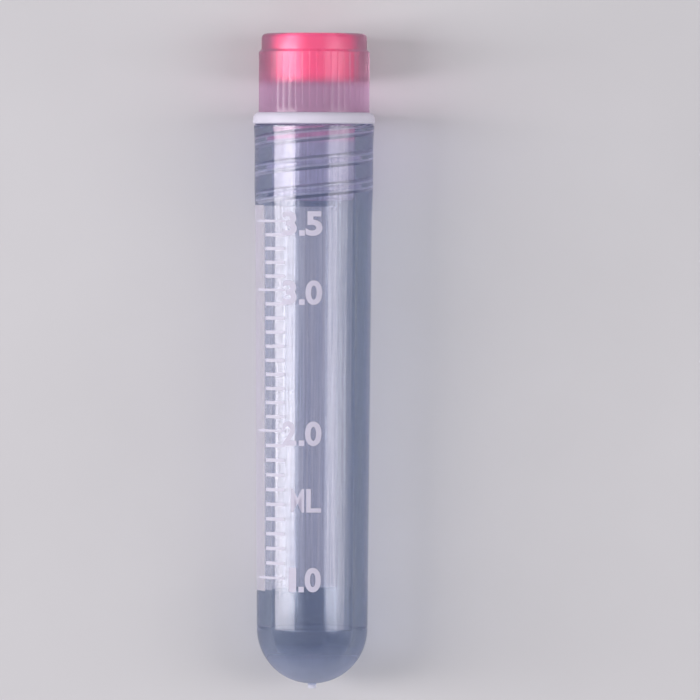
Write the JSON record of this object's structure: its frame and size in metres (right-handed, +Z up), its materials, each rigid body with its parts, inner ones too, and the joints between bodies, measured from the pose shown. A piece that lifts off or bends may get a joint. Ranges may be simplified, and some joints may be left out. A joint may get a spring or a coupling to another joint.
{
  "type": "cryovial",
  "caption": "Round-bottom cryogenic sample vial with an internal-thread screw cap, silicone gasket, coloured cap insert and printed volume scale, lying on its side.",
  "frame": {"origin": "on the ground under the middle of the lying vial's overall length", "axes": "+Y along the vial towards its cap, +Z up and out of the printed scale, +X to the right of the scale"},
  "size_m": [0.0132, 0.0704, 0.0132],
  "materials": {
    "tube": "natural translucent moulded polypropylene",
    "cap": "pink tinted translucent moulded polypropylene",
    "gasket": "white translucent silicone",
    "cap_insert": "bright pink moulded polypropylene"
  },
  "bodies": {
    "tube": {"tube": "tube"},
    "gasket": {"gasket": "gasket"},
    "cap": {"cap": "cap", "cap_insert": "cap_insert"}
  },
  "joints": [
    {"name": "cap_travel", "type": "slide", "parent": "tube", "child": "gasket", "axis": [0, 0.9999, 0.0116], "range_m": [0, 0.0105]},
    {"name": "cap_turn", "type": "hinge", "parent": "gasket", "child": "cap", "pos_m": [0, 0.02667, 0.00659], "axis": [0, 0.9999, 0.0116], "range_deg": [0, 1260.1]}
  ],
  "couplings": [
    {"joint": "cap_turn", "follows": "cap_travel", "rad_per_m": 2094.4}
  ]
}
